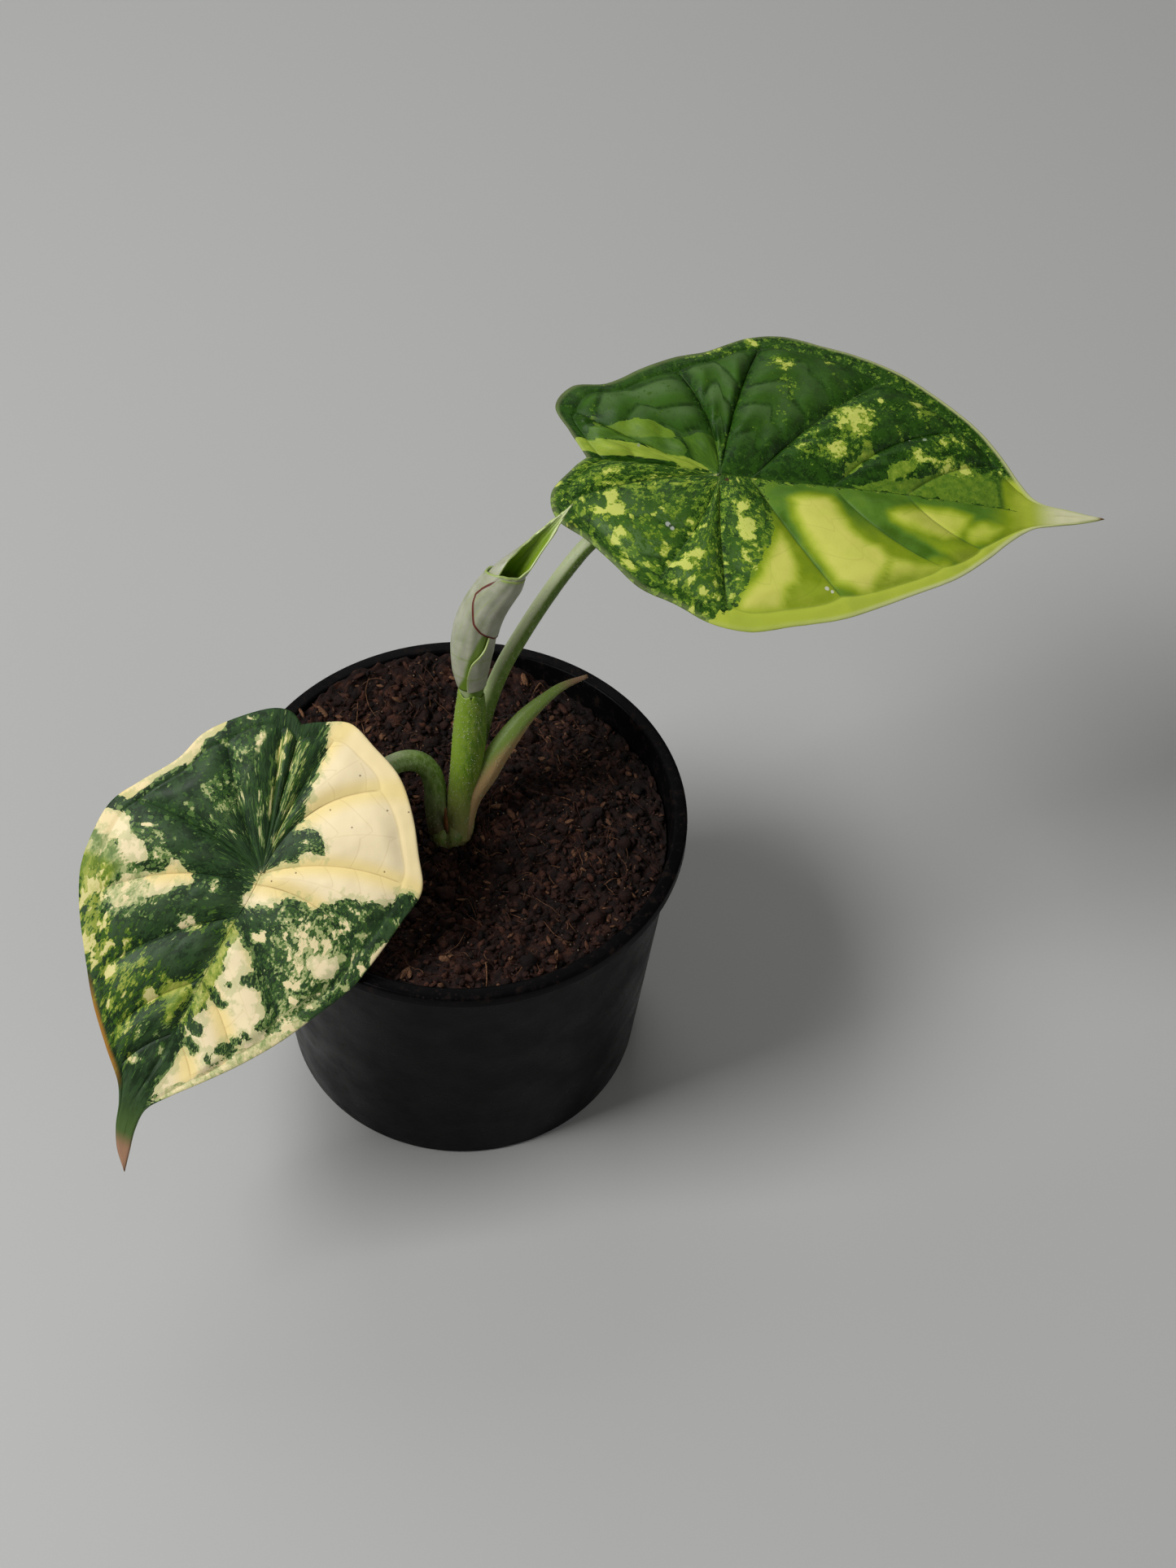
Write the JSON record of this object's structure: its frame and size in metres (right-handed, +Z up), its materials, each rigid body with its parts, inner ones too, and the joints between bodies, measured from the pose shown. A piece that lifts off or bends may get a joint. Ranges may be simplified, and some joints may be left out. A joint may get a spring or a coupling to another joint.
{
  "type": "potted alocasia",
  "caption": "Small variegated dragon scale alocasia with quilted heart-shaped leaves and a rolled new leaf, growing in potting mix in a round black nursery pot.",
  "frame": {"origin": "middle of the pot's foot, on the surface that the pot stands on", "axes": "+Z up along the pot's axis; -Y towards the front of the plant; +X along the right leaf, towards its tip"},
  "size_m": [0.2576, 0.1892, 0.1804],
  "materials": {
    "pot_plastic": "satin black moulded polypropylene",
    "potting_mix": "crumbly coir and bark mix, matte",
    "crown_flesh": "pale green living stem, satin",
    "petiole": "living leaf stalk, satin with fine scurf",
    "right_blade": "leathery leaf, deep green mottled with lime and yellow",
    "left_blade": "leathery leaf, deep green mottled with cream",
    "young_blade": "soft young leaf rolled underside out, pale grey-green",
    "bract": "thin drying sheath leaf, green to pinkish brown"
  },
  "bodies": {
    "root": {"pot": "pot_plastic", "potting_mix": "potting_mix", "crown": "crown_flesh", "right_leaf_petiole": "petiole", "right_leaf_blade": "right_blade", "left_leaf_petiole": "petiole", "left_leaf_blade": "left_blade", "new_leaf_sheath": "petiole", "new_leaf_roll": "young_blade", "bract": "bract"}
  },
  "joints": []
}
